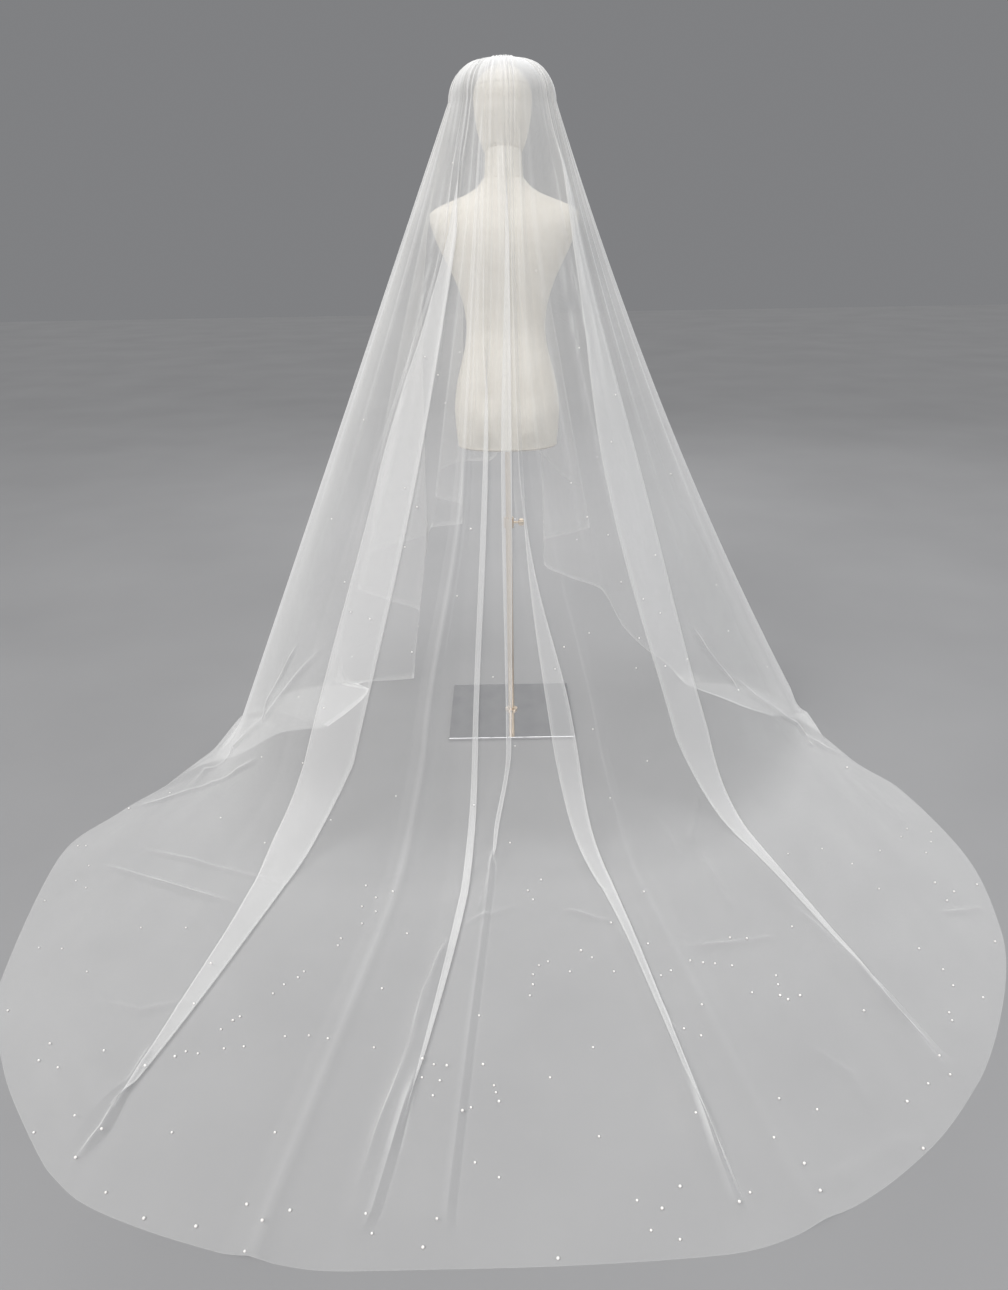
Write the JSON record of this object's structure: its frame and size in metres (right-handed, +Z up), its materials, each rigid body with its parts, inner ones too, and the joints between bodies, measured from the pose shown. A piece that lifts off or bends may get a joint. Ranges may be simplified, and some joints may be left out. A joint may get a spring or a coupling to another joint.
{
  "type": "bridal veil on a dress form",
  "caption": "Cathedral-length drop veil of soft tulle, gathered at a comb on the crown, with a long rounded train, worn by a limbless dress form on a pole and square plate.",
  "frame": {"origin": "on the floor under the pole's axis, the middle of the base plate's underside", "axes": "+Z up the pole, +Y the way the form faces, +X to the form's right hand as the viewer behind it sees it; the train runs out along -Y"},
  "size_m": [2.1952, 2.0556, 1.8032],
  "materials": {
    "tulle": "sheer soft white tulle with a fine net",
    "comb_plastic": "clear moulded plastic",
    "form_fabric": "cream woven cover, stretched smooth",
    "stand_metal": "brushed champagne gold",
    "mirror_plate": "mirror polished"
  },
  "bodies": {
    "root": {"veil_back": "tulle", "veil_front": "tulle", "gathered_heading": "tulle", "comb": "comb_plastic", "form_head": "form_fabric", "form_neck": "form_fabric", "form_torso": "form_fabric", "pole_upper": "stand_metal", "pole_lower": "stand_metal", "pole_collar": "stand_metal", "collar_knob": "stand_metal", "foot_flange": "stand_metal", "base_plate": "mirror_plate"}
  },
  "joints": []
}
